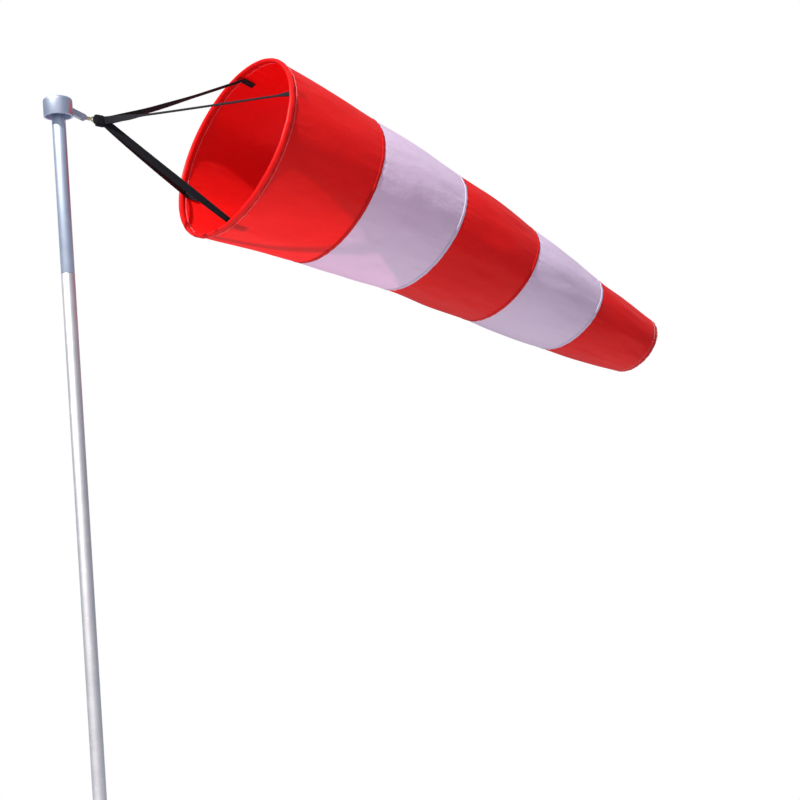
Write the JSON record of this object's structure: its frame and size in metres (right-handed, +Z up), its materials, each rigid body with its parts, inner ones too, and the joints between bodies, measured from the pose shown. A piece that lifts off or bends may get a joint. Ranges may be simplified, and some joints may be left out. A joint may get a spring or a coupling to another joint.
{
  "type": "windsock with pole",
  "caption": "Slim aluminium pole with a turning cap that carries a tapered red and white banded cloth windsock on a webbing bridle.",
  "frame": {"origin": "centre of the pole's foot", "axes": "+Z up the pole, +X the way the sock flies"},
  "size_m": [1.3154, 0.32, 2.3275],
  "materials": {
    "blue_aluminium": "satin",
    "grey_aluminium": "satin",
    "steel": "satin",
    "brass": "satin",
    "black_plastic": "matte",
    "rod_plastic": "satin",
    "black_webbing": "matte",
    "red_cloth": "satin",
    "white_cloth": "satin"
  },
  "bodies": {
    "pole": {"foot_plug": "black_plastic", "lower_pole": "grey_aluminium", "joint_ferrule": "steel", "ferrule_rivet_lower": "steel", "ferrule_rivet_upper": "steel", "upper_pole": "blue_aluminium", "spindle_plug": "grey_aluminium", "spindle_washer": "steel", "spindle_screw": "steel", "bearing_inner_ring": "steel"},
    "ball_set": {"bearing_cage": "black_plastic", "bearing_ball_1": "steel", "bearing_ball_2": "steel", "bearing_ball_3": "steel", "bearing_ball_4": "steel", "bearing_ball_5": "steel", "bearing_ball_6": "steel", "bearing_ball_7": "steel"},
    "head": {"head_cap": "blue_aluminium", "bearing_outer_ring": "steel", "bearing_circlip": "steel", "cap_arm": "steel", "arm_screw_upper": "steel", "arm_screw_lower": "steel", "swivel_pin": "steel"},
    "swivel": {"swivel_body": "brass"},
    "mouth": {"swivel_eye": "brass", "webbing_knot": "black_webbing", "bridle_strap_top": "black_webbing", "bridle_strap_near": "black_webbing", "bridle_strap_bottom": "black_webbing", "bridle_strap_far": "black_webbing", "strap_tab_top": "black_webbing", "strap_tab_near": "black_webbing", "strap_tab_bottom": "black_webbing", "strap_tab_far": "black_webbing", "mouth_hoop": "rod_plastic", "mouth_hem": "red_cloth", "sock_band_1": "red_cloth"},
    "band_2": {"sock_band_2": "white_cloth"},
    "band_3": {"sock_band_3": "red_cloth"},
    "band_4": {"sock_band_4": "white_cloth"},
    "band_5": {"sock_band_5": "red_cloth"}
  },
  "joints": [
    {"name": "head_turn", "type": "hinge", "parent": "pole", "child": "head", "pos_m": [0, 0, 2.2056], "axis": [0, 0, 1], "continuous": true},
    {"name": "ball_orbit", "type": "hinge", "parent": "pole", "child": "ball_set", "pos_m": [0, 0, 2.2056], "axis": [0, 0, 1], "continuous": true},
    {"name": "swivel_swing", "type": "hinge", "parent": "head", "child": "swivel", "pos_m": [0.0405, 0, 2.1956], "axis": [0, 1, 0], "range_deg": [-20, 55]},
    {"name": "eye_spin", "type": "hinge", "parent": "swivel", "child": "mouth", "pos_m": [0.0405, 0, 2.1956], "axis": [0.9976, 0, -0.0698], "continuous": true},
    {"name": "seam_1", "type": "hinge", "parent": "mouth", "child": "band_2", "pos_m": [0.50211, 0, 2.1234], "axis": [0, 1, 0], "range_deg": [-8, 5]},
    {"name": "seam_2", "type": "hinge", "parent": "band_2", "child": "band_3", "pos_m": [0.6945, 0, 2.06347], "axis": [0, 1, 0], "range_deg": [-8, 6]},
    {"name": "seam_3", "type": "hinge", "parent": "band_3", "child": "band_4", "pos_m": [0.8836, 0, 1.9939], "axis": [0, 1, 0], "range_deg": [-8, 8]},
    {"name": "seam_4", "type": "hinge", "parent": "band_4", "child": "band_5", "pos_m": [1.07172, 0, 1.92169], "axis": [0, 1, 0], "range_deg": [-8, 8]}
  ],
  "couplings": [
    {"joint": "ball_orbit", "follows": "head_turn", "ratio": 0.632}
  ]
}
